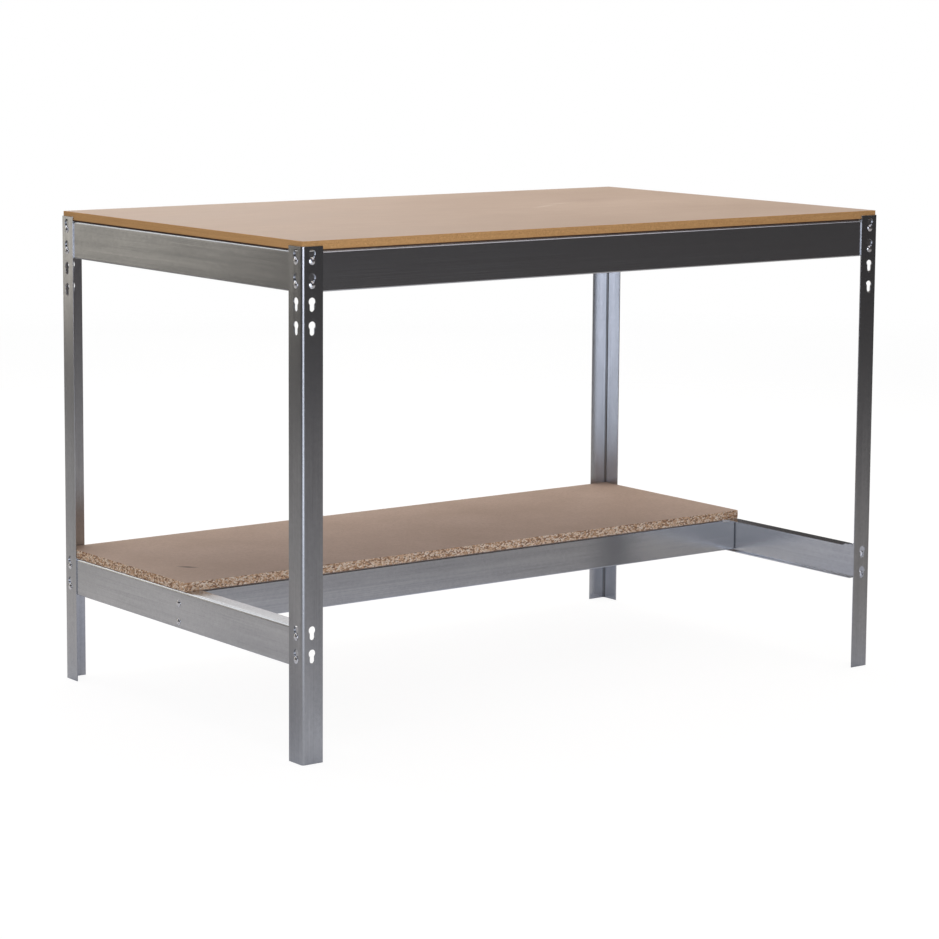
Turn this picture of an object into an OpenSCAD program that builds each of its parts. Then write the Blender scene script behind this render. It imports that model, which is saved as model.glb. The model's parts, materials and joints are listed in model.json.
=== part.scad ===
// Potting bench: a boltless steel frame of four angle posts and eight folded
// beams, with a loose worktop board and a half-depth shelf board.
// Millimetres. The origin is on the floor at the middle of the footprint,
// +X runs along the long front, the front faces -Y and +Z is up.

/* [Bench] */
// Overall width across the posts
bench_w = 1210; // [900:1:1800]
// Overall depth across the posts
bench_d = 737; // [620:1:900]
// Height of the worktop's upper face above the floor
worktop_z = 812; // [700:1:950]
// Height of the shelf's upper face above the floor
shelf_z = 230.5; // [160:0.5:400]
// Distance from the bench's front to the shelf's front edge
shelf_front = 345; // [250:1:420]

/* [Posts] */
// Width of each flange of a post
post_flange = 38; // [34:0.5:50]
// Sheet thickness of the posts
post_t = 1.8; // [1.2:0.1:2.5]
// Outer radius of a post's bend
post_r = 5; // [3.5:0.1:5]
// Drop from the worktop's upper face to the tops of the posts
post_drop = 8; // [4:0.5:14]

/* [Beams] */
// Height of a beam
beam_h = 63.5; // [58:0.5:70]
// Sheet thickness of the beams
beam_t = 1.5; // [1:0.1:2]
// Outer radius of a beam's upper bend, under the board's edge
beam_r = 5; // [3:0.1:5.5]
// Outer radius of a beam's lower bend
foot_r = 2.2; // [2:0.1:5]
// Width of the top flange that carries a board
ledge_w = 30; // [24:0.5:34]
// Width of the bottom flange
foot_w = 8.2; // [6:0.1:14]
// Distance from the bench's outer face to where a beam's flanges begin
flange_setback = 40; // [39:0.5:50]
// Height of the mid-depth stretcher, which clears the side beams' bottom flanges
stretcher_h = 59.5; // [54:0.5:60]
// Distance from the shelf's front edge back to the stretcher's front face
stretcher_inset = 7; // [4:0.5:12]

/* [Keyholes and rivets] */
// Diameter of a keyhole's round part
keyhole_d = 12.6; // [12.2:0.1:13.5]
// Width of a keyhole's slot
slot_w = 8.6; // [8.3:0.1:9]
// Distance from a keyhole's round centre down to its seat centre
keyhole_drop = 11; // [9:0.5:12]
// Distance between keyholes, up the post
keyhole_pitch = 36.5; // [34:0.5:38]
// Distance from a post's outer corner to its column of keyholes
keyhole_in = 18; // [16:0.5:20]
// Diameter of a rivet's shank
shank_d = 8; // [7:0.1:8.2]
// Diameter of a rivet's domed head
head_d = 11.6; // [11:0.1:12]
// Height of a rivet's domed head
head_h = 2.4; // [1.8:0.1:3]

/* [Boards] */
// Thickness of both boards
board_t = 15; // [12:0.5:18]
// Gap between a board's edge and a post's inner face
board_gap = 0.6; // [0.5:0.1:1.5]
// Length cut off each side of a board's corner to clear a post's bend
corner_cut = 2; // [1.5:0.1:4]

/* [Hidden] */
$fn = 64;
cut = 1;                                        // how far a cutter passes a face
post_h = worktop_z - post_drop;
top_ledge_z = worktop_z - board_t;              // where the worktop rests
shelf_ledge_z = shelf_z - board_t;              // where the shelf rests
top_beam_z = top_ledge_z - beam_h;
shelf_beam_z = shelf_ledge_z - beam_h;
end_gap = post_t + beam_t + 1.7;                // beam end to the bench's outer face
tab_trim = 0.5;                                 // flat end tab, short of the beam's height
pair_drop = 1.75;                               // rivet pair's middle below the beam's
rivet_low = beam_h / 2 - pair_drop - keyhole_pitch / 2;
rivet_high = rivet_low + keyhole_pitch;
spare_rows = 2;                                 // empty keyholes under each top beam
rivet_hole_d = shank_d + 0.2;
rim_h = 0.5;                                    // straight rim under a rivet's dome
tail_d = 10;                                    // rivet's flat head inside the beam
tail_h = 1.2;
board_inset = post_t + board_gap;
stretcher_y = -bench_d / 2 + shelf_front + stretcher_inset;
stretcher_half = bench_w / 2 - post_t - beam_t; // to the side beams' inner faces
stretcher_r = 3.5;                              // outer radius of its end bends
stretcher_notch = 6.5;                          // notch under the side beams' ledges
stretcher_tab = 28;                             // length of its end tabs
stretcher_rivet_y = 14;                         // rivets behind its front face
stretcher_rivet_low = 7;                        // lower rivet above its bottom edge
stretcher_rivet_pitch = 30.5;
steel = [0.62, 0.64, 0.66];
zinc = [0.80, 0.81, 0.83];
fibreboard = [0.72, 0.57, 0.44];
chipboard = [0.63, 0.52, 0.42];

// Quarter ring of bent sheet that fills the corner at the origin.
module bend(r, t) {
    intersection() {
        square(r);
        translate([r, r]) difference() {
            circle(r = r);
            circle(r = r - t);
        }
    }
}

// Keyhole outline: its seat is at the origin and its round part above.
module keyhole() {
    circle(d = slot_w);
    translate([-slot_w / 2, 0]) square([slot_w, keyhole_drop]);
    translate([0, keyhole_drop]) circle(d = keyhole_d);
}

// Keyhole cut through a post flange that lies from x = 0, its seat at [y, z].
module keyhole_cut(y, z) {
    translate([-cut, y, z]) rotate([90, 0, 90]) linear_extrude(height = post_t + 2 * cut) keyhole();
}

// Rivet hole cut through beam sheet that lies from x = 0, its centre at [y, z].
module rivet_hole(y, z) {
    translate([-cut, y, z]) rotate([0, 90, 0]) cylinder(d = rivet_hole_d, h = beam_t + 2 * cut);
}

// One flange's keyholes: a column under the worktop and a pair at the shelf.
module keyhole_column() {
    for (row = [-spare_rows : 1])
        keyhole_cut(keyhole_in, top_beam_z + rivet_low + row * keyhole_pitch);
    for (row = [0 : 1])
        keyhole_cut(keyhole_in, shelf_beam_z + rivet_low + row * keyhole_pitch);
}

// Post of the front left corner, from its outer corner at the origin.
module angle_post() {
    difference() {
        linear_extrude(height = post_h) {
            bend(post_r, post_t);
            translate([post_r, 0]) square([post_flange - post_r, post_t]);
            translate([0, post_r]) square([post_t, post_flange - post_r]);
        }
        keyhole_column();
        mirror([1, -1, 0]) keyhole_column();
    }
}

// Beam section, outer face on x = 0, bottom on y = 0, flanges towards +x.
module beam_section(h) {
    translate([0, foot_r]) square([beam_t, h - foot_r - beam_r]);
    bend(foot_r, beam_t);
    translate([0, h]) mirror([0, 1]) bend(beam_r, beam_t);
    translate([foot_r, 0]) square([foot_w - foot_r, beam_t]);
    translate([beam_r, h - beam_t]) square([ledge_w - beam_r, beam_t]);
}

// Beam along y, outer face on x = 0, with a flat riveted tab at each end.
module beam(span) {
    length = span - 2 * end_gap;
    tab = flange_setback - end_gap;
    difference() {
        union() {
            rotate([90, 0, 0])
                linear_extrude(height = length - 2 * tab, center = true) beam_section(beam_h);
            for (start = [-length / 2, length / 2 - tab])
                translate([0, start, tab_trim]) cube([beam_t, tab, beam_h - 2 * tab_trim]);
        }
        for (end = [-1, 1], z = [rivet_low, rivet_high])
            rivet_hole(end * (span / 2 - keyhole_in), z);
    }
}

// Shelf side beam: a beam with the two holes that take one stretcher end.
module shelf_side_beam(side) {
    difference() {
        beam(bench_d);
        for (row = [0 : 1])
            rivet_hole(side * (stretcher_y + stretcher_rivet_y), stretcher_seat(row));
    }
}

// Height of a stretcher rivet above the bottom of the shelf beams.
function stretcher_seat(row) =
    beam_h - stretcher_h + stretcher_rivet_low + row * stretcher_rivet_pitch;

// Half outline of a rivet, its axis on y: flat tail below y = 0, domed head on top.
module rivet_outline(grip) {
    dome_h = head_h - rim_h;
    dome_r = (pow(head_d / 2, 2) + pow(dome_h, 2)) / (2 * dome_h);
    translate([0, -tail_h]) square([tail_d / 2, tail_h]);
    square([shank_d / 2, grip]);
    translate([0, grip]) intersection() {
        translate([0, head_h - dome_r]) circle(r = dome_r);
        square([head_d / 2, head_h + cut]);
    }
}

// Rivet along x: its tail at x < 0, then the sheets it grips, then its head.
module rivet(grip) {
    rotate([0, 90, 0]) rotate_extrude() rivet_outline(grip);
}

// The four rivets of a beam that spans this far, heads outside the posts.
module beam_rivets(span) {
    for (end = [-1, 1], z = [rivet_low, rivet_high])
        translate([beam_t, end * (span / 2 - keyhole_in), z]) rotate([0, 0, 180])
            rivet(beam_t + post_t);
}

// Stands a beam made at the left on each side of the frame.
module on_left(z) { translate([-bench_w / 2 + post_t, 0, z]) children(); }
module on_right(z) { translate([bench_w / 2 - post_t, 0, z]) rotate([0, 0, 180]) children(); }
module on_front(z) { translate([0, -bench_d / 2 + post_t, z]) rotate([0, 0, 90]) children(); }
module on_back(z) { translate([0, bench_d / 2 - post_t, z]) rotate([0, 0, -90]) children(); }

// Stands the front left post's shape at one of the four corners.
module on_corner(x_side, y_side) {
    scale([-x_side, -y_side, 1]) translate([-bench_w / 2, -bench_d / 2, 0]) children();
}

module post_front_left() { color(steel) on_corner(-1, -1) angle_post(); }
module post_front_right() { color(steel) on_corner(1, -1) angle_post(); }
module post_back_left() { color(steel) on_corner(-1, 1) angle_post(); }
module post_back_right() { color(steel) on_corner(1, 1) angle_post(); }

module top_beam_front() { color(steel) on_front(top_beam_z) beam(bench_w); }
module top_beam_back() { color(steel) on_back(top_beam_z) beam(bench_w); }
module top_beam_left() { color(steel) on_left(top_beam_z) beam(bench_d); }
module top_beam_right() { color(steel) on_right(top_beam_z) beam(bench_d); }
module shelf_beam_left() { color(steel) on_left(shelf_beam_z) shelf_side_beam(1); }
module shelf_beam_right() { color(steel) on_right(shelf_beam_z) shelf_side_beam(-1); }
module shelf_beam_back() { color(steel) on_back(shelf_beam_z) beam(bench_w); }

module rivets_top_front() { color(zinc) on_front(top_beam_z) beam_rivets(bench_w); }
module rivets_top_back() { color(zinc) on_back(top_beam_z) beam_rivets(bench_w); }
module rivets_top_left() { color(zinc) on_left(top_beam_z) beam_rivets(bench_d); }
module rivets_top_right() { color(zinc) on_right(top_beam_z) beam_rivets(bench_d); }
module rivets_shelf_left() { color(zinc) on_left(shelf_beam_z) beam_rivets(bench_d); }
module rivets_shelf_right() { color(zinc) on_right(shelf_beam_z) beam_rivets(bench_d); }
module rivets_shelf_back() { color(zinc) on_back(shelf_beam_z) beam_rivets(bench_w); }

// Left half of the stretcher, from its front face on y = 0 to its middle, with
// the end tab folded back along the side beam and the top notched clear of it.
module stretcher_half() {
    body_start = ledge_w + 1;
    difference() {
        union() {
            translate([body_start, 0, 0]) rotate([90, 0, 90])
                linear_extrude(height = stretcher_half - body_start) beam_section(stretcher_h);
            translate([0, 0, tab_trim])
                linear_extrude(height = stretcher_h - stretcher_notch - tab_trim) {
                    bend(stretcher_r, beam_t);
                    translate([stretcher_r, 0]) square([body_start - stretcher_r, beam_t]);
                    translate([0, stretcher_r]) square([beam_t, stretcher_tab - stretcher_r]);
                }
        }
        for (row = [0 : 1])
            rivet_hole(stretcher_rivet_y, stretcher_rivet_low + row * stretcher_rivet_pitch);
    }
}

module shelf_stretcher() {
    color(steel) for (side = [-1, 1])
        scale([-side, 1, 1])
            translate([-stretcher_half, stretcher_y, shelf_ledge_z - stretcher_h]) stretcher_half();
}

module rivets_stretcher() {
    color(zinc) for (side = [-1, 1], row = [0 : 1])
        translate([side * (stretcher_half - beam_t), stretcher_y + stretcher_rivet_y,
            shelf_beam_z + stretcher_seat(row)])
            rotate([0, 0, side > 0 ? 0 : 180]) rivet(2 * beam_t);
}

// Board between the given depths, inside the posts on both sides, its corners
// cut off where its edge at post_edges meets the posts.
module board(front_y, back_y, top_z, post_edges) {
    half_w = bench_w / 2 - board_inset;
    side = corner_cut * sqrt(2);
    difference() {
        translate([-half_w, front_y, top_z - board_t]) cube([2 * half_w, back_y - front_y, board_t]);
        for (x = [-half_w, half_w], y = post_edges)
            translate([x, y, top_z - board_t / 2]) rotate([0, 0, 45])
                cube([side, side, board_t + 2 * cut], center = true);
    }
}

module worktop_board() {
    edge_y = bench_d / 2 - board_inset;
    color(fibreboard) board(-edge_y, edge_y, worktop_z, [-edge_y, edge_y]);
}

module shelf_board() {
    back_y = bench_d / 2 - board_inset;
    color(chipboard) board(-bench_d / 2 + shelf_front, back_y, shelf_z, [back_y]);
}

post_front_left();
post_front_right();
post_back_left();
post_back_right();
top_beam_front();
top_beam_back();
top_beam_left();
top_beam_right();
shelf_beam_left();
shelf_beam_right();
shelf_beam_back();
shelf_stretcher();
rivets_top_front();
rivets_top_back();
rivets_top_left();
rivets_top_right();
rivets_shelf_left();
rivets_shelf_right();
rivets_shelf_back();
rivets_stretcher();
worktop_board();
shelf_board();
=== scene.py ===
"""Looks of the potting bench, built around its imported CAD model. Lengths are in metres."""
import json
import math
import random

import bmesh
import bpy
from mathutils import Matrix, Vector

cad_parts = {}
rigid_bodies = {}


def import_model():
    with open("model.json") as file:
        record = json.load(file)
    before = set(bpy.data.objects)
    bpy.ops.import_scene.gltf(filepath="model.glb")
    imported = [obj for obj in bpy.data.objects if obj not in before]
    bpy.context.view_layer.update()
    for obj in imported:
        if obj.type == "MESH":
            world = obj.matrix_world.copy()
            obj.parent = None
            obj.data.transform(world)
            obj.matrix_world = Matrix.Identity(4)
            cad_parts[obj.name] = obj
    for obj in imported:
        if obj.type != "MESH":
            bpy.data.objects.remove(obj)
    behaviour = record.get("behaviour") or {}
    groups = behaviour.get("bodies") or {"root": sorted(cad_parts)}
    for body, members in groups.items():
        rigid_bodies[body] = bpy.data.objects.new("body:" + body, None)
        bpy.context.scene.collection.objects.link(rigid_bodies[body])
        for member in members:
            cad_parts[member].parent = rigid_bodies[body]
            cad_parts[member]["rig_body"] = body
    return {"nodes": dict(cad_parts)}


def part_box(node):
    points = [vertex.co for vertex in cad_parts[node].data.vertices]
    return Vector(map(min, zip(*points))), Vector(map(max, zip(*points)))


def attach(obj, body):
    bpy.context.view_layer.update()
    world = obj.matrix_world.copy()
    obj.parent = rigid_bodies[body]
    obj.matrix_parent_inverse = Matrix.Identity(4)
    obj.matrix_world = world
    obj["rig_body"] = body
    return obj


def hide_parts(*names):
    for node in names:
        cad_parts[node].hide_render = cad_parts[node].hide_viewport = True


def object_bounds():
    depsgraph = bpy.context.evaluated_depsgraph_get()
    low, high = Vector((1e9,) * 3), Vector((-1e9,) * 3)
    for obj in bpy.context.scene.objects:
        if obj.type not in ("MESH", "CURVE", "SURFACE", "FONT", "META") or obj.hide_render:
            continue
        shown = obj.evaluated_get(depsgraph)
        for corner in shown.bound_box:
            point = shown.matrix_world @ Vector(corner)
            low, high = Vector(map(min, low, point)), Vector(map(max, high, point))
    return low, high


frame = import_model()
cad_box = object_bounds()

# ---------------------------------------------------------------- sizes
POST_SHEET = 0.0018
POST_BEND = 0.005           # outer radius
BEAM_SHEET = 0.0015
BEAM_BEND = 0.005           # outer radius of the upper bend
FOOT_BEND = 0.0022          # outer radius of the lower bend
BEAM_FOOT = 0.0082          # width of a beam's bottom flange
STRETCHER_BEND = 0.0035     # outer radius of its folded ends
STRETCHER_NOTCH = 0.0065    # cut off the top of its end tabs
STRETCHER_TAB = 0.028       # depth of its folded ends
STRETCHER_LEDGE_END = 0.031  # where its flanges begin, from its end
FLANGE_SETBACK = 0.040      # where a beam's flanges begin, from the bench's outer face
TAB_TRIM = 0.0005           # cut off the end tabs, top and bottom
RELIEF = 0.0012             # slit between a flange's end and the flat end tab
CUT_EDGE = 0.00025          # rounding of a sheet's cut edge
BOARD_CORNER = 0.0015       # rounding of a board's corners, clear of the posts' bends
BOARD_MARGIN = 0.02         # width of the ring of faces inside a board's rim
EASE_STEPS = 3
BEND_STEPS = 8
KEYHOLE_ROUND = 0.0063      # radius of the round part
KEYHOLE_SLOT = 0.0043       # half width of the slot
KEYHOLE_DROP = 0.011        # from the round part's centre down to the seat's
KEYHOLE_PITCH = 0.0365
PAIR_DROP = 0.00175         # a beam's rivet pair sits this far below the beam's middle
KEYHOLE_IN = 0.018          # from a post's outer corner
SPARE_ROWS = 2              # keyholes in sight below the top beams
ARC_STEPS = 28
SHANK_HOLE = 0.0041         # radius
RIVET_SHANK = 0.004         # radius
RIVET_HEAD = 0.0058         # radius
RIVET_RISE = 0.0024         # how far a head stands off the post
RIVET_RIM = 0.0005
RIVET_TAIL = 0.005          # radius
RIVET_TAIL_H = 0.0012
TAIL_CHAMFER = 0.0004
HEAD_CHAMFER = 0.0002
DOME_STEPS = 7
STRETCHER_RIVET_IN = 0.014  # behind the stretcher's front face
INNER_BEND_SHADE = 0.3       # painted shade darkens the inside of the posts' bends


# ---------------------------------------------------------------- mesh helpers
def new_piece(name, bm, materials):
    """Turns a bmesh into a piece with smooth, area-weighted shading."""
    mesh = bpy.data.meshes.new(name)
    bmesh.ops.dissolve_degenerate(bm, dist=1e-6, edges=bm.edges)
    bmesh.ops.recalc_face_normals(bm, faces=bm.faces)
    if bm.calc_volume(signed=True) < 0:
        bmesh.ops.reverse_faces(bm, faces=bm.faces)
    for face in bm.faces:
        face.smooth = True
    bm.to_mesh(mesh)
    bm.free()
    piece = bpy.data.objects.new(name, mesh)
    bpy.context.scene.collection.objects.link(piece)
    for material in materials:
        mesh.materials.append(material)
    weighted = piece.modifiers.new("weighted", "WEIGHTED_NORMAL")
    weighted.weight = 100
    weighted.keep_sharp = True
    return piece


def stand_in(piece, node):
    """The piece rides with, and stands for, one CAD node."""
    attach(piece, frame["nodes"][node]["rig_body"])
    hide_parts(node)
    return piece


def arc(centre, radius, start, end, steps):
    """Points on an arc, angles in degrees."""
    return [
        (centre[0] + radius * math.cos(math.radians(start + (end - start) * i / steps)),
         centre[1] + radius * math.sin(math.radians(start + (end - start) * i / steps)))
        for i in range(steps + 1)
    ]


def circle(centre, radius):
    """Outline of a round hole."""
    return arc(centre, radius, 0, 360 * (1 - 1 / ARC_STEPS), ARC_STEPS - 1)


def keyhole(centre, up):
    """Outline of a keyhole: its seat at the centre, its round part towards up, a unit (x, y)."""
    lean = math.degrees(math.asin(KEYHOLE_SLOT / KEYHOLE_ROUND))
    points = arc((0, 0), KEYHOLE_SLOT, 180, 360, ARC_STEPS // 2)
    points += arc((0, KEYHOLE_DROP), KEYHOLE_ROUND, -90 + lean, 270 - lean, ARC_STEPS)
    return [(centre[0] + x * up[1] + y * up[0], centre[1] - x * up[0] + y * up[1]) for x, y in points]


def flat_sheet(outlines, thickness, cuts):
    """A blank in the plane z = 0, solid up to z = thickness, its cut edges rounded.
    outlines are the rim and the holes, and cuts are the (axis, place) lines that get points."""
    bm = bmesh.new()
    for outline in outlines:
        verts = [bm.verts.new((x, y, 0)) for x, y in outline]
        for a, b in zip(verts, verts[1:] + verts[:1]):
            bm.edges.new((a, b))
    bmesh.ops.triangle_fill(bm, use_beauty=True, use_dissolve=False, edges=bm.edges[:])
    for axis, place in cuts:
        normal = Vector((1, 0, 0)) if axis == "x" else Vector((0, 1, 0))
        bmesh.ops.bisect_plane(
            bm, geom=bm.verts[:] + bm.edges[:] + bm.faces[:], dist=1e-6,
            plane_co=normal * place, plane_no=normal)
    faces, rim = bm.faces[:], [e for e in bm.edges if len(e.link_faces) == 1]
    upper = {v: bm.verts.new((v.co.x, v.co.y, thickness)) for v in bm.verts[:]}
    for face in faces:
        bm.faces.new([upper[v] for v in reversed(face.verts)])
    for edge in rim:
        a, b = edge.verts
        bm.faces.new((a, b, upper[b], upper[a]))
    bmesh.ops.recalc_face_normals(bm, faces=bm.faces)
    sharp = [e for e in bm.edges if e.calc_face_angle(0) > math.radians(60)
             and abs(e.verts[0].co.z - e.verts[1].co.z) < thickness / 2]
    bmesh.ops.bevel(bm, geom=sharp, offset=CUT_EDGE, segments=2, profile=0.5,
                    affect="EDGES", clamp_overlap=True)
    return bm


def bend_cuts(start, radius, axis="x"):
    """Lines across one right-angle bend that begins at start."""
    return [(axis, start + radius * math.pi / 2 * i / BEND_STEPS) for i in range(BEND_STEPS + 1)]


def section_point(s, depth, runs, radii):
    """Where a point of the blank lies in the folded section: s along the outer face, depth into
    the sheet. The section starts at the origin along +x, and its bends turn towards +y."""
    place, along, inward = Vector((0, 0)), Vector((1, 0)), Vector((0, 1))
    for run, radius in zip(runs, radii):
        bend = radius * math.pi / 2
        if s <= run:
            return place + along * s + inward * depth
        place, s = place + along * run, s - run
        centre = place + inward * radius
        if s <= bend:
            angle = s / radius
            return centre + (along * math.sin(angle) - inward * math.cos(angle)) * (radius - depth)
        place, s = centre + along * radius, s - bend
        along, inward = inward, -along
    return place + along * s + inward * depth


# ---------------------------------------------------------------- node material helpers
class Nodes:
    """Short names for building one material's nodes."""

    def __init__(self, name):
        self.material = bpy.data.materials.new(name)
        self.material.use_nodes = True
        self.tree = self.material.node_tree
        self.shader = self.tree.nodes["Principled BSDF"]
        self.coords = self.tree.nodes.new("ShaderNodeTexCoord").outputs["Object"]

    def link(self, source, target):
        self.tree.links.new(source, target)

    def mapped(self, scale, shift=(0, 0, 0)):
        node = self.tree.nodes.new("ShaderNodeMapping")
        node.inputs["Scale"].default_value = scale
        node.inputs["Location"].default_value = shift
        self.link(self.coords, node.inputs["Vector"])
        return node.outputs["Vector"]

    def noise(self, vector, scale=1.0, detail=3.0, rough=0.5, distortion=0.0):
        node = self.tree.nodes.new("ShaderNodeTexNoise")
        self.link(vector, node.inputs["Vector"])
        for key, value in (("Scale", scale), ("Detail", detail), ("Roughness", rough),
                           ("Distortion", distortion)):
            node.inputs[key].default_value = value
        return node.outputs["Fac"]

    def cells(self, vector, scale, feature="F1", output="Color"):
        node = self.tree.nodes.new("ShaderNodeTexVoronoi")
        node.feature = feature
        self.link(vector, node.inputs["Vector"])
        node.inputs["Scale"].default_value = scale
        return node.outputs[output]

    def spread(self, value, low, high, to_low=0.0, to_high=1.0):
        node = self.tree.nodes.new("ShaderNodeMapRange")
        self.link(value, node.inputs["Value"])
        for key, number in (("From Min", low), ("From Max", high), ("To Min", to_low), ("To Max", to_high)):
            node.inputs[key].default_value = number
        return node.outputs["Result"]

    def spot(self, centre, size, turn=0.0):
        """1 at the middle of a flat ellipse, falling to 0 at its rim."""
        node = self.tree.nodes.new("ShaderNodeMapping")
        node.vector_type = "TEXTURE"
        node.inputs["Location"].default_value = centre
        node.inputs["Rotation"].default_value = (0, 0, turn)
        node.inputs["Scale"].default_value = (*size, 0.01)
        self.link(self.coords, node.inputs["Vector"])
        ball = self.tree.nodes.new("ShaderNodeTexGradient")
        ball.gradient_type = "SPHERICAL"
        self.link(node.outputs["Vector"], ball.inputs["Vector"])
        return ball.outputs["Fac"]

    def maths(self, operation, a, b):
        node = self.tree.nodes.new("ShaderNodeMath")
        node.operation = operation
        for socket, value in zip(node.inputs, (a, b)):
            if isinstance(value, (int, float)):
                socket.default_value = value
            else:
                self.link(value, socket)
        return node.outputs["Value"]

    def mix(self, factor, a, b, blend="MIX"):
        node = self.tree.nodes.new("ShaderNodeMix")
        node.data_type = "RGBA"
        node.blend_type = blend
        for key, value in ((0, factor), (6, a), (7, b)):
            socket = node.inputs[key]
            if isinstance(value, (int, float)):
                socket.default_value = value
            elif isinstance(value, tuple):
                socket.default_value = (*value, 1)
            else:
                self.link(value, socket)
        return node.outputs[2]

    def ramp(self, value, stops):
        node = self.tree.nodes.new("ShaderNodeValToRGB")
        self.link(value, node.inputs["Fac"])
        elements = node.color_ramp.elements
        while len(elements) < len(stops):
            elements.new(0.5)
        for element, (place, colour) in zip(elements, stops):
            element.position = place
            element.color = (*colour, 1)
        return node.outputs["Color"]

    def bump(self, height, distance, strength):
        node = self.tree.nodes.new("ShaderNodeBump")
        node.inputs["Distance"].default_value = distance
        node.inputs["Strength"].default_value = strength
        self.link(height, node.inputs["Height"])
        return node.outputs["Normal"]


# ---------------------------------------------------------------- materials
def galvanised(name, along, seed, tone):
    """Zinc-coated sheet, with rolling streaks along one axis, faint spangle and darker, rougher patches."""
    n = Nodes(name)
    shift = (seed * 3.7, seed * 1.9, seed * 5.3)
    axis = "XYZ".index(along)

    def stretched(lengthwise, across):
        return n.mapped(tuple(lengthwise if i == axis else across for i in range(3)), shift)

    fine = n.noise(stretched(5, 700), detail=2)
    broad = n.noise(stretched(1.6, 90), detail=3)
    patch = n.noise(stretched(5, 22), detail=4, rough=0.6)
    spangle = n.cells(n.mapped((1, 1, 1), shift), 150, output="Distance")
    streak = n.maths("ADD", n.maths("MULTIPLY", fine, 0.5), n.maths("MULTIPLY", broad, 0.5))
    value = n.maths("ADD", n.maths("MULTIPLY", streak, 0.55), n.maths("MULTIPLY", patch, 0.35))
    value = n.maths("ADD", value, n.maths("MULTIPLY", spangle, 0.10))
    dark = tuple(c * tone for c in (0.36, 0.37, 0.385))
    light = tuple(c * tone for c in (0.50, 0.51, 0.525))
    colour = n.ramp(value, [(0.30, dark), (0.66, light)])
    n.link(colour, n.shader.inputs["Base Color"])
    n.link(n.spread(value, 0.3, 0.66, 0.27, 0.18), n.shader.inputs["Roughness"])
    n.shader.inputs["Metallic"].default_value = 1.0
    n.link(n.bump(streak, 0.00012, 0.5), n.shader.inputs["Normal"])
    return n.material


def zinc_plate(name):
    """Bright plated rivets, with small dents from setting."""
    n = Nodes(name)
    spots = n.noise(n.mapped((1, 1, 1)), scale=420, detail=3)
    colour = n.ramp(spots, [(0.32, (0.22, 0.22, 0.24)), (0.48, (0.84, 0.85, 0.87))])
    n.link(colour, n.shader.inputs["Base Color"])
    n.link(n.spread(spots, 0.3, 0.7, 0.26, 0.14), n.shader.inputs["Roughness"])
    n.shader.inputs["Metallic"].default_value = 1.0
    n.link(n.bump(spots, 0.0003, 0.35), n.shader.inputs["Normal"])
    return n.material


def fibreboard_face(name, marks):
    """Smooth pressed face of the worktop: even tan with soft clouds, fine fibres and a few scuffs."""
    n = Nodes(name)
    clouds = n.noise(n.mapped((1.0, 1.6, 1)), scale=3.2, detail=4, rough=0.55)
    fibres = n.noise(n.mapped((1, 1, 1)), scale=900, detail=2)
    flecks = n.noise(n.mapped((160, 420, 200)), detail=2, distortion=1.5)
    base = n.ramp(clouds, [(0.3, (0.575, 0.45, 0.36)), (0.7, (0.645, 0.52, 0.43))])
    base = n.mix(n.spread(fibres, 0.35, 0.75, 0.0, 0.22), base, (0.45, 0.33, 0.24))
    base = n.mix(n.spread(flecks, 0.66, 0.80, 0.0, 0.35), base, (0.74, 0.64, 0.54))
    mottle = n.noise(n.mapped((14, 40, 20)), detail=4, rough=0.6)
    base = n.mix(n.spread(mottle, 0.40, 0.70, 0.0, 0.22), base, (0.50, 0.37, 0.30))
    for centre, size, turn, depth, colour in marks:
        base = n.mix(n.maths("MULTIPLY", n.spot(centre, size, turn), depth), base, colour)
    n.link(base, n.shader.inputs["Base Color"])
    n.link(n.spread(clouds, 0.3, 0.7, 0.50, 0.62), n.shader.inputs["Roughness"])
    n.shader.inputs["Specular IOR Level"].default_value = 0.35
    n.link(n.bump(fibres, 0.00008, 0.4), n.shader.inputs["Normal"])
    return n.material


def fibreboard_edge(name, bottom):
    """Sawn edge of the worktop: warmer than its faces, with a painted shadow along its lower arris."""
    n = Nodes(name)
    fuzz = n.noise(n.mapped((1, 1, 1)), scale=750, detail=4, rough=0.65)
    bands = n.noise(n.mapped((9, 9, 420)), detail=2)
    base = n.ramp(fuzz, [
        (0.3, (0.40, 0.205, 0.072)), (0.55, (0.64, 0.36, 0.14)), (0.75, (0.80, 0.51, 0.23))])
    base = n.mix(n.spread(bands, 0.35, 0.7, 0.0, 0.4), base, (0.48, 0.25, 0.09))
    place = n.tree.nodes.new("ShaderNodeSeparateXYZ")
    n.link(n.coords, place.inputs[0])
    # painted shadow: near black up to 1 mm above the board's underside, fading out by 2.4 mm, for the shade
    # in the crevice over the beams' bends
    crevice_shadow = n.spread(place.outputs["Z"], bottom + 0.0010, bottom + 0.0024, 1.0, 0.0)
    base = n.mix(crevice_shadow, base, (0.035, 0.014, 0.008))
    n.link(base, n.shader.inputs["Base Color"])
    n.shader.inputs["Roughness"].default_value = 0.75
    n.shader.inputs["Specular IOR Level"].default_value = 0.25
    n.link(n.bump(fuzz, 0.0003, 0.6), n.shader.inputs["Normal"])
    return n.material


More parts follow.
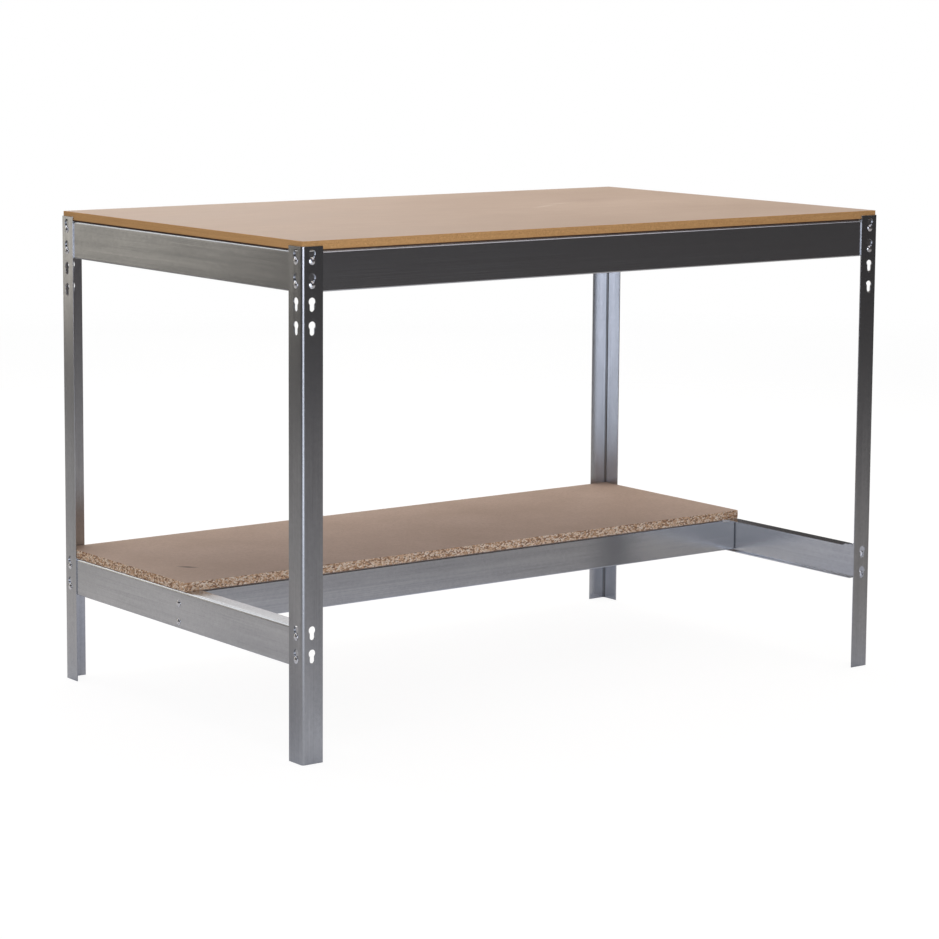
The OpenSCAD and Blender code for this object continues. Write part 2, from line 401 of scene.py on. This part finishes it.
def chipboard_face(name, marks):
    """Sanded face of the shelf: greyed tan with small pressed flakes, and its scuffs."""
    n = Nodes(name)
    flakes = n.cells(n.mapped((1, 1, 1)), 260)
    clouds = n.noise(n.mapped((1, 1, 1)), scale=7, detail=4, rough=0.6)
    grain = n.noise(n.mapped((1, 1, 1)), scale=500, detail=3, rough=0.6)
    grey = n.tree.nodes.new("ShaderNodeRGBToBW")
    n.link(flakes, grey.inputs["Color"])
    base = n.ramp(clouds, [(0.3, (0.56, 0.42, 0.33)), (0.7, (0.65, 0.50, 0.41))])
    base = n.mix(n.spread(grey.outputs["Val"], 0.25, 0.85, 0.0, 0.35), base, (0.45, 0.325, 0.245))
    base = n.mix(n.spread(grain, 0.4, 0.75, 0.0, 0.30), base, (0.74, 0.62, 0.52))
    for centre, size, turn, depth, colour in marks:
        base = n.mix(n.maths("MULTIPLY", n.spot(centre, size, turn), depth), base, colour)
    n.link(base, n.shader.inputs["Base Color"])
    n.link(n.spread(grain, 0.3, 0.7, 0.60, 0.72), n.shader.inputs["Roughness"])
    n.shader.inputs["Specular IOR Level"].default_value = 0.3
    n.link(n.bump(grain, 0.00015, 0.5), n.shader.inputs["Normal"])
    return n.material


def chipboard_edge(name):
    """Coarse sawn edge of the shelf: pale, orange and dark chips with gaps between them."""
    n = Nodes(name)
    chips = n.cells(n.mapped((0.65, 0.65, 1)), 480)
    gaps = n.cells(n.mapped((0.65, 0.65, 1)), 480, feature="DISTANCE_TO_EDGE", output="Distance")
    grain = n.noise(n.mapped((1, 1, 1)), scale=900, detail=3)
    split = n.tree.nodes.new("ShaderNodeSeparateColor")
    n.link(chips, split.inputs["Color"])
    base = n.ramp(split.outputs["Red"], [
        (0.08, (0.20, 0.10, 0.055)), (0.28, (0.56, 0.32, 0.17)), (0.5, (0.76, 0.52, 0.33)),
        (0.72, (0.88, 0.70, 0.51)), (0.95, (0.94, 0.83, 0.68))])
    base = n.mix(n.spread(gaps, 0.0, 0.10, 0.65, 0.0), base, (0.16, 0.085, 0.05))
    base = n.mix(n.spread(grain, 0.3, 0.7, 0.0, 0.3), base, (0.64, 0.44, 0.28))
    n.link(base, n.shader.inputs["Base Color"])
    n.shader.inputs["Roughness"].default_value = 0.8
    n.shader.inputs["Specular IOR Level"].default_value = 0.25
    n.link(n.bump(split.outputs["Green"], 0.0008, 0.5), n.shader.inputs["Normal"])
    return n.material


# ---------------------------------------------------------------- posts
def rivet_rows(bottom, height):
    """Heights of the two rivet seats of a beam."""
    middle = bottom + height / 2 - PAIR_DROP
    return [middle - KEYHOLE_PITCH / 2, middle + KEYHOLE_PITCH / 2]


def make_post(node, seed, tone):
    """An angle post with a column of keyholes up each flange, with painted shade inside its bend."""
    low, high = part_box(node)
    corner = [max(low.x, high.x, key=abs), max(low.y, high.y, key=abs)]
    side = Vector([-math.copysign(1, c) for c in corner])    # from the corner into the bench
    flange, top = high.x - low.x, high.z
    run = flange - POST_BEND
    runs = [run, run]
    length = 2 * run + POST_BEND * math.pi / 2
    top_beam, shelf_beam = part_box("top_beam_front"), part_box("shelf_beam_left")
    seats = rivet_rows(top_beam[0].z, top_beam[1].z - top_beam[0].z)
    seats += [seats[0] - KEYHOLE_PITCH * (i + 1) for i in range(SPARE_ROWS)]
    seats += rivet_rows(shelf_beam[0].z, shelf_beam[1].z - shelf_beam[0].z)
    rim = [(0, 0), (length, 0), (length, top), (0, top)]
    columns = (flange - KEYHOLE_IN, length - flange + KEYHOLE_IN)
    holes = [keyhole((s, z), (0, 1)) for z in seats for s in columns]
    bm = flat_sheet([rim] + holes, POST_SHEET, bend_cuts(run, POST_BEND))
    bend_end = run + POST_BEND * math.pi / 2
    # faces on the inside of the bend take the second slot, which paints shade there
    for face in bm.faces:
        if all(v.co.z > 0.9 * POST_SHEET and run - 1e-5 < v.co.x < bend_end + 1e-5 for v in face.verts):
            face.material_index = 1
    for vert in bm.verts:
        s, z, depth = vert.co
        p = section_point(s, depth, runs, [POST_BEND])
        vert.co = (corner[0] + side.x * p.y, corner[1] + side.y * (flange - p.x), z)
    steel = galvanised("galvanised." + node, "Z", seed, tone)
    # the second material is the same zinc darkened: painted shade inside the bend
    bend_shade = galvanised("dull." + node, "Z", seed, INNER_BEND_SHADE * tone)
    return stand_in(new_piece(node + ".sheet", bm, [steel, bend_shade]), node)


# ---------------------------------------------------------------- beams
def beam_blank(length, height, ledge, tab, notch, holes):
    """A beam's blank and the lines that get points: x from the ledge's inner edge round the
    section, y along the beam from its middle. tab is the flat length at each end."""
    ledge_run, web_run, foot_run = ledge - BEAM_BEND, height - BEAM_BEND - FOOT_BEND, BEAM_FOOT - FOOT_BEND
    web = ledge_run + BEAM_BEND * math.pi / 2
    total = web + web_run + FOOT_BEND * math.pi / 2 + foot_run
    body, half = length / 2 - tab, length / 2
    tab_top = web - BEAM_BEND + (notch or TAB_TRIM)
    tab_bottom = web + web_run + FOOT_BEND - TAB_TRIM
    quarter = [(0, body), (web, body), (web, body + RELIEF), (tab_top, body + RELIEF), (tab_top, half),
               (tab_bottom, half), (tab_bottom, body + RELIEF), (web + web_run, body + RELIEF),
               (web + web_run, body), (total, body)]
    rim = quarter + [(x, -y) for x, y in reversed(quarter)]
    cuts = bend_cuts(ledge_run, BEAM_BEND) + bend_cuts(web + web_run, FOOT_BEND)
    cuts += [("y", side * (body + RELIEF / 2)) for side in (-1, 1)]
    runs = [ledge_run, web_run, foot_run]
    return [rim] + holes, cuts, runs, web, body


def beam_section_point(s, y, depth, height, ledge, runs, web, body):
    """(inward, up) of a blank point in the beam's section, its flat end tabs left unbent."""
    if abs(y) > body + RELIEF / 4:
        return Vector((depth, height - BEAM_BEND - (s - web)))
    p = section_point(s, depth, runs, [BEAM_BEND, FOOT_BEND])
    return Vector((ledge - p.x, height - p.y))


def placed(inward, along, outer, bottom):
    """Turns (inward, along, up) of a beam into the frame's axes."""
    origin = Vector((0, 0, bottom)) + outer
    return lambda p: origin + inward * p[0] + along * p[1] + Vector((0, 0, p[2]))


SIDES = {
    "front": (Vector((0, 1, 0)), Vector((1, 0, 0)), "X"),
    "back": (Vector((0, -1, 0)), Vector((-1, 0, 0)), "X"),
    "left": (Vector((1, 0, 0)), Vector((0, -1, 0)), "Y"),
    "right": (Vector((-1, 0, 0)), Vector((0, 1, 0)), "Y"),
}


def beam_frame(node, side):
    """(placing function, length, height, ledge width) of a straight beam from its CAD box."""
    low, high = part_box(node)
    inward, along, axis = SIDES[side]
    outer = Vector([(low[i] if inward[i] > 0 else high[i]) * abs(inward[i]) for i in range(3)])
    size = high - low
    length, ledge = (size.x, size.y) if axis == "X" else (size.y, size.x)
    return placed(inward, along, outer, low.z), length, size.z, ledge


def frame_span(side):
    """Width of the bench over its posts on one side, rivet heads left out."""
    size = cad_box[1] - cad_box[0]
    return (size.x if SIDES[side][2] == "X" else size.y) - 2 * RIVET_RISE


def top_line(ledge):
    """Where a beam's top would lie on its blank if the web ran straight up to it."""
    return ledge - 2 * BEAM_BEND + BEAM_BEND * math.pi / 2


def make_beam(node, side, seed, tone, extra):
    """A straight beam. extra lists the (y, z) of holes besides those of its end rivets."""
    place, length, height, ledge = beam_frame(node, side)
    span = frame_span(side)
    gap = (span - length) / 2
    holes = [circle((top_line(ledge) + height - z, end * (span / 2 - KEYHOLE_IN)), SHANK_HOLE)
             for z in rivet_rows(0, height) for end in (-1, 1)]
    holes += [circle((top_line(ledge) + height - z, y), SHANK_HOLE) for y, z in extra]
    outlines, cuts, runs, web, body = beam_blank(length, height, ledge, FLANGE_SETBACK - gap, 0, holes)
    bm = flat_sheet(outlines, BEAM_SHEET, cuts)
    for vert in bm.verts:
        s, y, depth = vert.co
        q = beam_section_point(s, y, depth, height, ledge, runs, web, body)
        vert.co = place((q.x, y, q.y))
    piece = new_piece(node + ".sheet", bm, [galvanised("galvanised." + node, SIDES[side][2], seed, tone)])
    return stand_in(piece, node)


def make_stretcher(node, seed, tone):
    """The mid-depth beam: like a front beam, with its ends folded back along the side beams."""
    place, width, height, ledge = beam_frame(node, "front")
    fold = STRETCHER_BEND * math.pi / 2
    flat = width / 2 - STRETCHER_BEND                 # half length of its straight front face
    length = 2 * (flat + fold + STRETCHER_TAB - STRETCHER_BEND)
    tab = length / 2 - (width / 2 - STRETCHER_LEDGE_END)
    centre = flat + fold + STRETCHER_RIVET_IN - STRETCHER_BEND
    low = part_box(node)[0].z
    holes = [circle((top_line(ledge) + height - (z - low), end * centre), SHANK_HOLE)
             for z in stretcher_seats() for end in (-1, 1)]
    outlines, cuts, runs, web, body = beam_blank(length, height, ledge, tab, STRETCHER_NOTCH, holes)
    for end in (-1, 1):
        cuts += [("y", end * line) for _, line in bend_cuts(flat, STRETCHER_BEND)]
    bm = flat_sheet(outlines, BEAM_SHEET, cuts)
    for vert in bm.verts:
        s, y, depth = vert.co
        q = beam_section_point(s, y, depth, height, ledge, runs, web, body)
        if abs(y) <= flat:
            vert.co = place((q.x, y, q.y))
        else:
            p = section_point(abs(y), q.x, [flat], [STRETCHER_BEND])
            vert.co = place((p.y, math.copysign(p.x, y), q.y))
    piece = new_piece(node + ".sheet", bm, [galvanised("galvanised." + node, "X", seed, tone)])
    return stand_in(piece, node)


# ---------------------------------------------------------------- rivets
def lathe(bm, outline, origin, axis):
    """Adds a solid of revolution: outline is (radius, height along the axis) from end to end."""
    turn = axis.to_track_quat("Z", "X").to_matrix().to_4x4()
    place = Matrix.Translation(origin) @ turn
    rings = []
    for radius, height in outline:
        if radius < 1e-7:
            rings.append([bm.verts.new(place @ Vector((0, 0, height)))])
            continue
        rings.append([bm.verts.new(place @ Vector((
            radius * math.cos(2 * math.pi * i / ARC_STEPS),
            radius * math.sin(2 * math.pi * i / ARC_STEPS), height))) for i in range(ARC_STEPS)])
    for lower, upper in zip(rings, rings[1:]):
        for i in range(ARC_STEPS):
            j = (i + 1) % ARC_STEPS
            a, b = lower[i % len(lower)], lower[j % len(lower)]
            c, d = upper[j % len(upper)], upper[i % len(upper)]
            bm.faces.new(list(dict.fromkeys((a, b, c, d))))


def rivet_outline(grip):
    """(radius, height) points of a flat tail, a shank and a domed head with a low rim."""
    dome = RIVET_RISE - RIVET_RIM
    radius = (RIVET_HEAD ** 2 + dome ** 2) / (2 * dome)
    spread = math.asin(RIVET_HEAD / radius)
    points = [(0, -RIVET_TAIL_H), (RIVET_TAIL - TAIL_CHAMFER, -RIVET_TAIL_H),
              (RIVET_TAIL, -RIVET_TAIL_H + TAIL_CHAMFER), (RIVET_TAIL, 0),
              (RIVET_SHANK, 0), (RIVET_SHANK, grip), (RIVET_HEAD - HEAD_CHAMFER, grip),
              (RIVET_HEAD, grip + HEAD_CHAMFER), (RIVET_HEAD, grip + RIVET_RIM)]
    for i in range(1, DOME_STEPS + 1):
        angle = spread * (1 - i / DOME_STEPS)
        points.append((radius * math.sin(angle), grip + RIVET_RISE - radius * (1 - math.cos(angle))))
    return points


def make_rivets(node, seats, axis_of, grip):
    """A group of rivets. Each seat is on the inner face of the sheets it grips, at its tail."""
    bm = bmesh.new()
    for seat in seats:
        lathe(bm, rivet_outline(grip), seat, axis_of(seat))
    return stand_in(new_piece(node + ".set", bm, [zinc_plate("zinc." + node)]), node)


def beam_rivets(node, beam, side):
    """The four rivets that hold a beam to its two posts."""
    place, _, height, _ = beam_frame(beam, side)
    seats = [place((BEAM_SHEET, end * (frame_span(side) / 2 - KEYHOLE_IN), z))
             for end in (-1, 1) for z in rivet_rows(0, height)]
    outward = -SIDES[side][0]
    return make_rivets(node, seats, lambda seat: outward, BEAM_SHEET + POST_SHEET)


def stretcher_seats():
    """Heights of the stretcher's rivets, from its CAD group's box."""
    low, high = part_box("rivets_stretcher")
    return [low.z + RIVET_HEAD, high.z - RIVET_HEAD]


def stretcher_rivets(node):
    """The four rivets that hold the stretcher's folded ends to the side beams."""
    low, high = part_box(node)
    reach = high.x - RIVET_RISE - 2 * BEAM_SHEET
    seats = [Vector((side * reach, (low.y + high.y) / 2, z)) for side in (-1, 1) for z in stretcher_seats()]
    return make_rivets(node, seats, lambda seat: Vector((math.copysign(1, seat.x), 0, 0)), 2 * BEAM_SHEET)


# ---------------------------------------------------------------- boards
def edge_profile(height, ease, rows):
    """(inset, height, how far it may crumble) up a board's edge, its arrises eased."""
    turns = [math.pi / 2 * i / EASE_STEPS for i in range(EASE_STEPS)]
    lower = [(ease * (1 - math.sin(turn)), ease * (1 - math.cos(turn))) for turn in turns]
    middle = [(0, ease + (height - 2 * ease) * i / rows) for i in range(rows + 1)]
    return lower + middle + [(inset, height - z) for inset, z in reversed(lower)]


def rectangle_walk(half, corner, step):
    """Points and outward directions round a rectangle of half sizes half, corners rounded."""
    walk = []
    for turn, (along, reach) in enumerate(((0, 1), (1, 0), (0, 1), (1, 0))):
        count = max(1, round(2 * (half[along] - corner) / step))
        heading = math.pi / 2 * turn
        out = Vector((math.sin(heading), -math.cos(heading)))
        ahead = Vector((math.cos(heading), math.sin(heading)))
        for i in range(count):
            along_edge = (2 * i / count - 1) * (half[along] - corner)
            walk.append((ahead * along_edge + out * (half[reach] - corner), out))
        for i in range(3):
            angle = heading + math.pi / 6 * i
            lean = Vector((math.sin(angle), -math.cos(angle)))
            walk.append((ahead * (half[along] - corner) + out * (half[reach] - corner), lean))
    return walk


def make_board(node, face_material, edge_material, ease, step, rows, crumble, seed):
    """A board with eased arrises. crumble is how deep chips are missing from its sawn edges."""
    low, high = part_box(node)
    centre, half = (low + high) / 2, (high - low) / 2
    profile = edge_profile(high.z - low.z, ease, rows)
    walk = rectangle_walk((half.x, half.y), BOARD_CORNER, step)
    rng = random.Random(seed)
    chips = {}

    def missing(index, z):
        """Depth of the chip that is missing here: chips are a few points long and one row high."""
        row = round(z / (high.z - low.z) * (rows + 2))
        length = 1 + (row * 7 + seed) % 3
        key = (row, (index + row) // length)
        if key not in chips:
            chips[key] = crumble * rng.random() ** 2.5
        return chips[key]

    bm = bmesh.new()
    rings = []
    for inset, z in profile:
        ring = []
        for index, (point, out) in enumerate(walk):
            reach = BOARD_CORNER - inset - (missing(index, z) if crumble else 0)
            p = point + out * reach
            ring.append(bm.verts.new((centre.x + p.x, centre.y + p.y, low.z + z)))
        rings.append(ring)
    for lower, upper in zip(rings, rings[1:]):
        for i in range(len(walk)):
            j = (i + 1) % len(walk)
            bm.faces.new((lower[i], lower[j], upper[j], upper[i])).material_index = 1
    reach_x, reach_y = half.x - BOARD_MARGIN, half.y - BOARD_MARGIN
    for ring, flip in ((rings[0], True), (rings[-1], False)):
        inner = [bm.verts.new((
            centre.x + max(-reach_x, min(reach_x, v.co.x - centre.x)),
            centre.y + max(-reach_y, min(reach_y, v.co.y - centre.y)), v.co.z)) for v in ring]
        for i in range(len(walk)):
            j = (i + 1) % len(walk)
            quad = (ring[i], ring[j], inner[j], inner[i])
            bm.faces.new(quad if not flip else quad[::-1])
        bm.faces.new(inner if not flip else inner[::-1])
    bmesh.ops.remove_doubles(bm, verts=bm.verts, dist=1e-6)
    piece = new_piece(node + ".panel", bm, [face_material, edge_material])
    return stand_in(piece, node)


# ---------------------------------------------------------------- the bench
# Each piece's zinc tone is partly its own and partly painted light and shade: pieces that look brighter or
# darker because of how they are lit get lighter or darker zinc.
for index, (post, tone) in enumerate([
        ("post_front_left", 0.85), ("post_front_right", 0.93),
        ("post_back_left", 1.1), ("post_back_right", 1.2)]):
    make_post(post, index + 1, tone)
for index, (level, side, tone) in enumerate([
        ("top", "front", 1.2), ("top", "back", 1.2), ("top", "left", 0.82), ("top", "right", 1.0),
        ("shelf", "left", 1.2), ("shelf", "right", 1.1), ("shelf", "back", 1.15)]):
    beam = f"{level}_beam_{side}"
    extra = []
    if level == "shelf" and side != "back":
        along = sum(end.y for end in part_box("rivets_stretcher")) / 2 * SIDES[side][1].y
        extra = [(along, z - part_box(beam)[0].z) for z in stretcher_seats()]
    make_beam(beam, side, index + 11, tone, extra)
    beam_rivets(f"rivets_{level}_{side}", beam, side)
# the stretcher's tone is set the same way, partly painted light and shade
make_stretcher("shelf_stretcher", 21, 1.1)
stretcher_rivets("rivets_stretcher")
top_low, top_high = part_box("worktop_board")
shelf_low, shelf_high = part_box("shelf_board")
# Each mark is (centre, half length and half width, turn, strength, colour).
worktop_marks = [
    ((0.17, 0.02, top_high.z), (0.060, 0.010), 0.5, 0.5, (0.80, 0.70, 0.62)),
    ((0.24, 0.06, top_high.z), (0.045, 0.008), 0.2, 0.5, (0.80, 0.70, 0.62)),
    ((0.33, 0.10, top_high.z), (0.110, 0.060), 0.3, 0.5, (0.48, 0.36, 0.29))]
scuff = (shelf_low.x + 0.075, shelf_low.y + 0.115, shelf_high.z)
shelf_marks = [(scuff, (0.022, 0.007), -0.9, 1.0, (0.05, 0.03, 0.025))]
make_board("worktop_board",
           fibreboard_face("fibreboard.face", worktop_marks),
           fibreboard_edge("fibreboard.edge", top_low.z),
           ease=0.0008, step=0.03, rows=2, crumble=0, seed=1)
make_board("shelf_board",
           chipboard_face("chipboard.face", shelf_marks),
           chipboard_edge("chipboard.edge"),
           ease=0.0004, step=0.0022, rows=8, crumble=0.0008, seed=5)


# ---------------------------------------------------------------- floor, light and camera
FLOOR_SOLID, FLOOR_FADED = 3.0, 6.0     # radii between which the floor fades into the backdrop


def make_floor(pools):
    """A pale floor disc that fades into the white backdrop. pools are the patches of light on it,
    as (centre, radius, colour), which the bench's steel mirrors."""
    bm = bmesh.new()
    bmesh.ops.create_circle(bm, cap_ends=True, radius=FLOOR_FADED, segments=96)
    mesh = bpy.data.meshes.new("floor")
    bm.to_mesh(mesh)
    bm.free()
    floor = bpy.data.objects.new("floor", mesh)
    bpy.context.scene.collection.objects.link(floor)
    floor.location.z = cad_box[0].z
    n = Nodes("floor")
    length = n.tree.nodes.new("ShaderNodeVectorMath")
    length.operation = "LENGTH"
    n.link(n.coords, length.inputs[0])
    radius = length.outputs["Value"]
    n.shader.inputs["Base Color"].default_value = (0.6, 0.6, 0.6, 1)
    n.shader.inputs["Roughness"].default_value = 1.0
    glow = (0, 0, 0)
    for centre, reach, colour in pools:
        pool = n.tree.nodes.new("ShaderNodeTexGradient")
        pool.gradient_type = "QUADRATIC_SPHERE"
        n.link(n.mapped((1 / reach, 1 / reach, 1), (-centre[0] / reach, -centre[1] / reach, 0)),
               pool.inputs["Vector"])
        glow = n.mix(1.0, glow, n.mix(pool.outputs["Fac"], (0, 0, 0), colour), "ADD")
    n.link(glow, n.shader.inputs["Emission Color"])
    n.shader.inputs["Emission Strength"].default_value = 1.0
    seen = n.tree.nodes.new("ShaderNodeBsdfPrincipled")
    seen.inputs["Base Color"].default_value = (0.15, 0.15, 0.15, 1)
    seen.inputs["Roughness"].default_value = 1.0
    seen.inputs["Specular IOR Level"].default_value = 0.0
    seen.inputs["Emission Color"].default_value = (0.92, 0.92, 0.92, 1)
    seen.inputs["Emission Strength"].default_value = 1.0
    path = n.tree.nodes.new("ShaderNodeLightPath")
    pick = n.tree.nodes.new("ShaderNodeMixShader")
    n.link(path.outputs["Is Camera Ray"], pick.inputs["Fac"])
    n.link(n.shader.outputs[0], pick.inputs[1])
    n.link(seen.outputs[0], pick.inputs[2])
    fade = n.tree.nodes.new("ShaderNodeMixShader")
    n.link(n.spread(radius, FLOOR_SOLID, FLOOR_FADED, 0, 1), fade.inputs["Fac"])
    n.link(pick.outputs[0], fade.inputs[1])
    n.link(n.tree.nodes.new("ShaderNodeBsdfTransparent").outputs[0], fade.inputs[2])
    n.link(fade.outputs[0], n.tree.nodes["Material Output"].inputs["Surface"])
    mesh.materials.append(n.material)


def softbox(name, place, target, size, radiance):
    """A rectangular area light that faces a point, as bright all over as its radiance says."""
    light = bpy.data.lights.new(name, "AREA")
    light.shape = "RECTANGLE"
    light.size, light.size_y = size
    light.energy = max(radiance) * math.pi * size[0] * size[1]
    light.color = [c / max(radiance) for c in radiance]
    lamp = bpy.data.objects.new(name, light)
    bpy.context.scene.collection.objects.link(lamp)
    lamp.location = place
    lamp.rotation_euler = (Vector(target) - Vector(place)).to_track_quat("-Z", "Y").to_euler()
    lamp.visible_camera = False


def make_world(glow):
    """White backdrop for the camera, and an even studio glow for everything else."""
    world = bpy.data.worlds.new("studio")
    bpy.context.scene.world = world
    world.use_nodes = True
    tree = world.node_tree
    backdrop = tree.nodes.new("ShaderNodeBackground")
    backdrop.inputs["Color"].default_value = (1, 1, 1, 1)
    room = tree.nodes["Background"]
    room.inputs["Color"].default_value = (*glow, 1)
    pick = tree.nodes.new("ShaderNodeMixShader")
    path = tree.nodes.new("ShaderNodeLightPath")
    tree.links.new(path.outputs["Is Camera Ray"], pick.inputs["Fac"])
    tree.links.new(room.outputs[0], pick.inputs[1])
    tree.links.new(backdrop.outputs[0], pick.inputs[2])
    tree.links.new(pick.outputs[0], tree.nodes["World Output"].inputs["Surface"])


def make_camera():
    """The camera stands front left of the bench, a little above its top."""
    data = bpy.data.cameras.new("camera")
    data.sensor_width = 36
    data.lens = 115.4
    data.shift_y = -0.10
    camera = bpy.data.objects.new("camera", data)
    bpy.context.scene.collection.objects.link(camera)
    camera.location = (-3.131, -4.141, 1.197)
    yaw, pitch, roll = math.radians(37.01), math.radians(7.38), math.radians(0.39)
    ahead = Vector((math.sin(yaw) * math.cos(pitch), math.cos(yaw) * math.cos(pitch), -math.sin(pitch)))
    right = Vector((math.cos(yaw), -math.sin(yaw), 0))
    up = right.cross(ahead)
    turned_right = math.cos(roll) * right + math.sin(roll) * up
    turned_up = math.cos(roll) * up - math.sin(roll) * right
    camera.rotation_mode = "QUATERNION"
    camera.rotation_quaternion = Matrix((turned_right, turned_up, -ahead)).transposed().to_quaternion()
    data.clip_end = 100
    bpy.context.scene.camera = camera


make_floor([
    ((0.0, 0.0), 1.6, (0.47, 0.51, 0.62)),
    ((-1.9, -2.5), 2.8, (2.6, 2.8, 3.2)),
    ((-0.5, -0.5), 0.7, (0.25, 0.25, 0.26)),
    ((-1.2, 0.8), 1.2, (0.20, 0.19, 0.19))])
make_world((0.065, 0.06, 0.06))
CENTRE = (0, 0, 0.6)
softbox("top", (0.4, 0.3, 3.4), CENTRE, (4.0, 4.0), (1.4, 1.26, 1.12))
softbox("front_left", (-3.2, -4.6, 1.3), CENTRE, (5.5, 2.5), (2.7, 2.8, 3.2))
softbox("back_left", (-2.7, 5.0, 1.2), CENTRE, (2.4, 2.3), (0.86, 0.80, 0.70))
softbox("back_right", (2.7, 4.3, 1.3), CENTRE, (2.6, 2.2), (0.42, 0.40, 0.40))
softbox("fill_back", (0.0, 3.6, 2.6), CENTRE, (5.0, 2.4), (1.2, 1.2, 1.2))
softbox("fill_right", (3.4, 1.0, 2.6), CENTRE, (2.0, 2.0), (1.4, 1.4, 1.4))
softbox("fill_left", (-3.4, 0.6, 2.4), CENTRE, (2.5, 2.0), (0.7, 0.7, 0.75))
softbox("high_right", (2.2, -3.0, 3.0), CENTRE, (2.6, 1.5), (0.9, 0.85, 0.9))
softbox("high_left", (-2.4, 3.2, 2.9), CENTRE, (2.6, 1.5), (0.55, 0.55, 0.58))
make_camera()
bpy.context.scene.view_settings.view_transform = "Standard"
